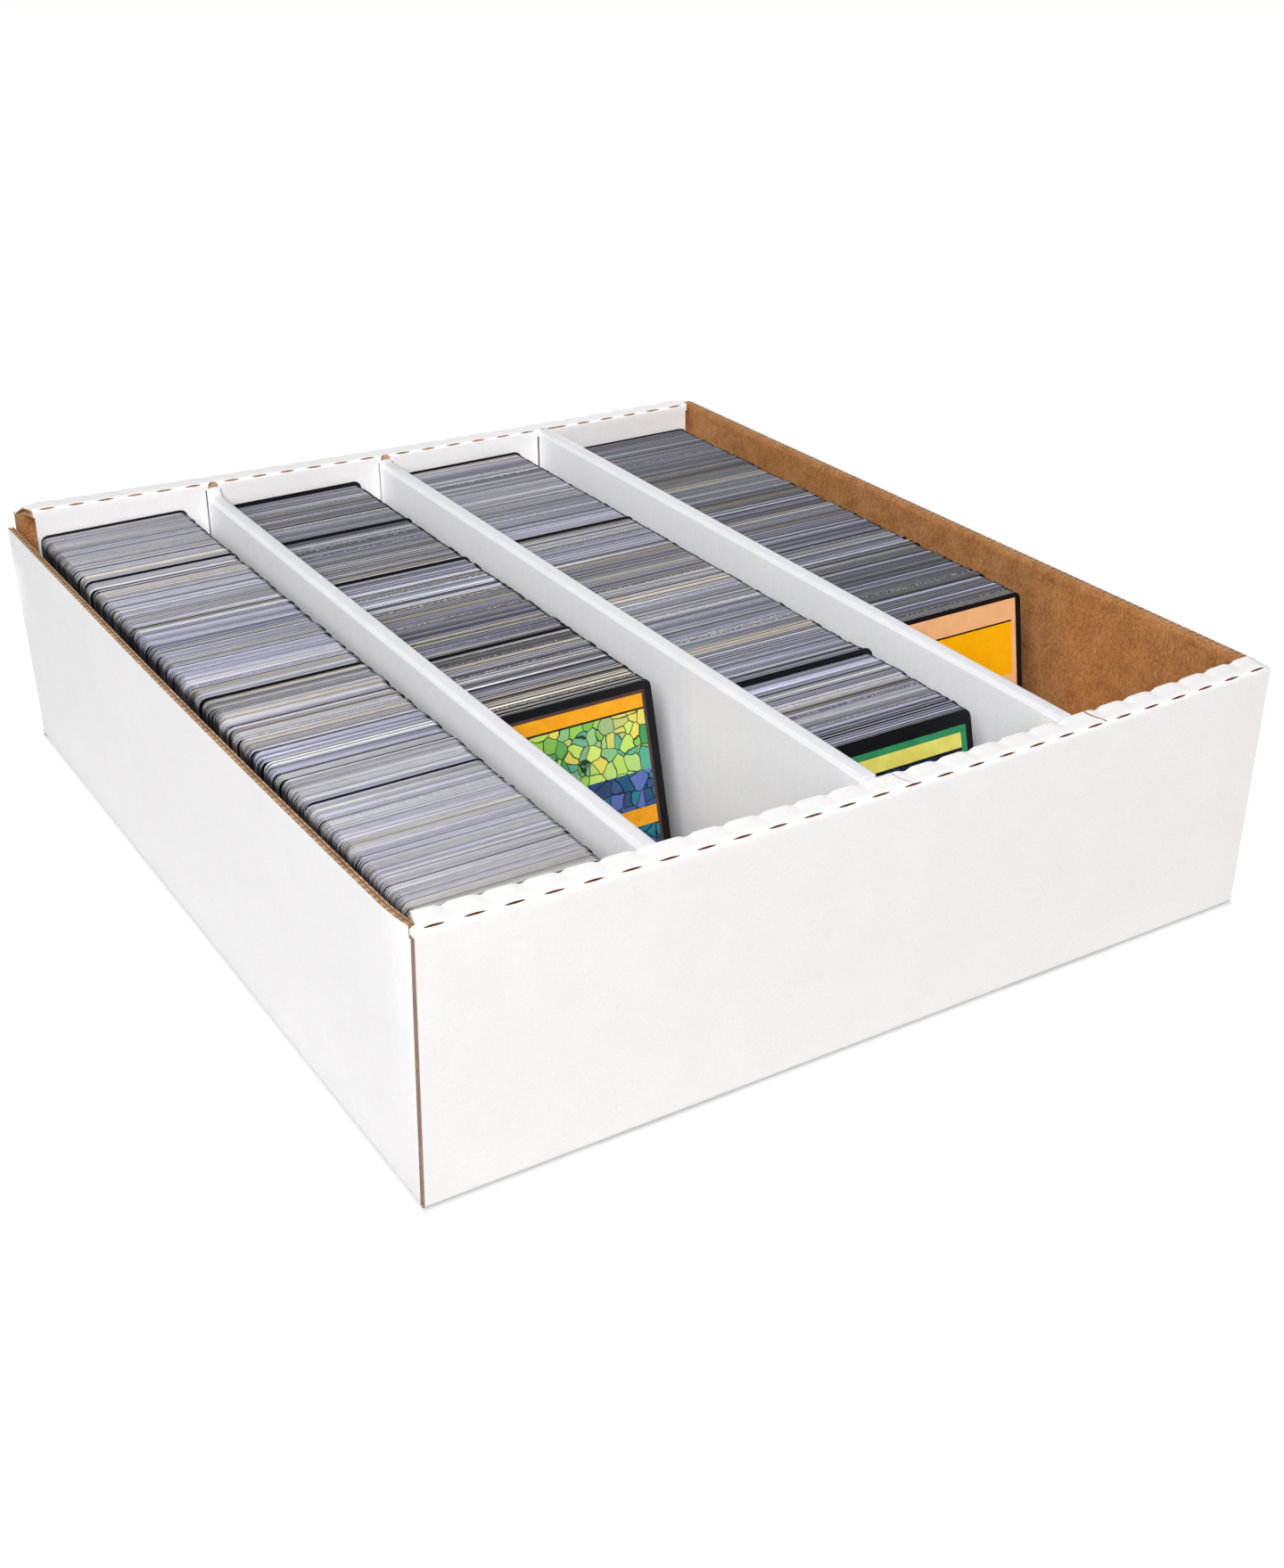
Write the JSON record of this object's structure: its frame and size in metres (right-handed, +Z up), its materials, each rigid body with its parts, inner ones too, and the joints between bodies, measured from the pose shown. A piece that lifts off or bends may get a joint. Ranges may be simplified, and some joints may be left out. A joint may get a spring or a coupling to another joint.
{
  "type": "card storage box",
  "caption": "Open corrugated-board box with rolled end walls and folded dividers that hold rows of leaning cards, which lift out or tip forward.",
  "frame": {"origin": "middle of the box's underside", "axes": "+X to the right along the front wall, +Y from the front wall to the back wall, +Z up"},
  "size_m": [0.331, 0.374, 0.0965],
  "materials": {
    "white_board": "white-lined corrugated board, matte",
    "cards": "cut card edges, matte",
    "front_cards": "printed card face, satin"
  },
  "bodies": {
    "box": {"tray_floor": "white_board", "left_side_wall": "white_board", "right_side_wall": "white_board", "front_outer_wall": "white_board", "back_outer_wall": "white_board", "front_top_strip": "white_board", "back_top_strip": "white_board", "front_inner_flap_1": "white_board", "front_inner_flap_2": "white_board", "front_inner_flap_3": "white_board", "front_inner_flap_4": "white_board", "back_inner_flap_1": "white_board", "back_inner_flap_2": "white_board", "back_inner_flap_3": "white_board", "back_inner_flap_4": "white_board", "front_left_corner_flap": "white_board", "front_right_corner_flap": "white_board", "back_left_corner_flap": "white_board", "back_right_corner_flap": "white_board", "left_divider": "white_board", "centre_divider": "white_board", "right_divider": "white_board"},
    "row_1_cards_1": {"row_1_cards_1": "cards"},
    "row_1_cards_2": {"row_1_cards_2": "cards"},
    "row_1_cards_3": {"row_1_cards_3": "cards"},
    "row_1_cards_4": {"row_1_cards_4": "cards"},
    "row_2_cards_1": {"row_2_cards_1": "cards"},
    "row_2_cards_2": {"row_2_cards_2": "cards"},
    "row_2_cards_3": {"row_2_cards_3": "cards"},
    "row_2_cards_4": {"row_2_cards_4": "cards"},
    "row_3_cards_1": {"row_3_cards_1": "cards"},
    "row_3_cards_2": {"row_3_cards_2": "cards"},
    "row_3_cards_3": {"row_3_cards_3": "cards"},
    "row_3_cards_4": {"row_3_cards_4": "cards"},
    "row_4_cards_1": {"row_4_cards_1": "cards"},
    "row_4_cards_2": {"row_4_cards_2": "cards"},
    "row_4_cards_3": {"row_4_cards_3": "cards"},
    "row_4_cards_4": {"row_4_cards_4": "cards"},
    "row_2_front_card": {"row_2_front_card": "front_cards"},
    "row_3_front_card": {"row_3_front_card": "front_cards"},
    "row_4_front_card": {"row_4_front_card": "front_cards"}
  },
  "joints": [
    {"name": "row_1_cards_1_lift", "type": "slide", "parent": "box", "child": "row_1_cards_1", "axis": [0, 0.061, 0.9981], "range_m": [0, 0.1]},
    {"name": "row_1_cards_2_lift", "type": "slide", "parent": "box", "child": "row_1_cards_2", "axis": [0, 0.061, 0.9981], "range_m": [0, 0.1]},
    {"name": "row_1_cards_3_lift", "type": "slide", "parent": "box", "child": "row_1_cards_3", "axis": [0, 0.061, 0.9981], "range_m": [0, 0.1]},
    {"name": "row_1_cards_4_lift", "type": "slide", "parent": "box", "child": "row_1_cards_4", "axis": [0, 0.061, 0.9981], "range_m": [0, 0.1]},
    {"name": "row_2_cards_1_lift", "type": "slide", "parent": "box", "child": "row_2_cards_1", "axis": [0, 0.2419, 0.9703], "range_m": [0, 0.1]},
    {"name": "row_2_cards_2_lift", "type": "slide", "parent": "box", "child": "row_2_cards_2", "axis": [0, 0.2419, 0.9703], "range_m": [0, 0.1]},
    {"name": "row_2_cards_3_lift", "type": "slide", "parent": "box", "child": "row_2_cards_3", "axis": [0, 0.2419, 0.9703], "range_m": [0, 0.1]},
    {"name": "row_2_cards_4_lift", "type": "slide", "parent": "box", "child": "row_2_cards_4", "axis": [0, 0.2419, 0.9703], "range_m": [0, 0.1]},
    {"name": "row_3_cards_1_lift", "type": "slide", "parent": "box", "child": "row_3_cards_1", "axis": [0, 0.2419, 0.9703], "range_m": [0, 0.1]},
    {"name": "row_3_cards_2_lift", "type": "slide", "parent": "box", "child": "row_3_cards_2", "axis": [0, 0.2419, 0.9703], "range_m": [0, 0.1]},
    {"name": "row_3_cards_3_lift", "type": "slide", "parent": "box", "child": "row_3_cards_3", "axis": [0, 0.2419, 0.9703], "range_m": [0, 0.1]},
    {"name": "row_3_cards_4_lift", "type": "slide", "parent": "box", "child": "row_3_cards_4", "axis": [0, 0.2419, 0.9703], "range_m": [0, 0.1]},
    {"name": "row_4_cards_1_lift", "type": "slide", "parent": "box", "child": "row_4_cards_1", "axis": [0, 0.1564, 0.9877], "range_m": [0, 0.1]},
    {"name": "row_4_cards_2_lift", "type": "slide", "parent": "box", "child": "row_4_cards_2", "axis": [0, 0.1564, 0.9877], "range_m": [0, 0.1]},
    {"name": "row_4_cards_3_lift", "type": "slide", "parent": "box", "child": "row_4_cards_3", "axis": [0, 0.1564, 0.9877], "range_m": [0, 0.1]},
    {"name": "row_4_cards_4_lift", "type": "slide", "parent": "box", "child": "row_4_cards_4", "axis": [0, 0.1564, 0.9877], "range_m": [0, 0.1]},
    {"name": "row_2_front_card_tip", "type": "hinge", "parent": "box", "child": "row_2_front_card", "pos_m": [0, -0.08911, 0.0035], "axis": [1, 0, 0], "range_deg": [0, 99.1]},
    {"name": "row_3_front_card_tip", "type": "hinge", "parent": "box", "child": "row_3_front_card", "pos_m": [0, -0.16752, 0.0035], "axis": [1, 0, 0], "range_deg": [0, 20]},
    {"name": "row_4_front_card_tip", "type": "hinge", "parent": "box", "child": "row_4_front_card", "pos_m": [0, -0.09195, 0.0035], "axis": [1, 0, 0], "range_deg": [0, 83.6]}
  ]
}
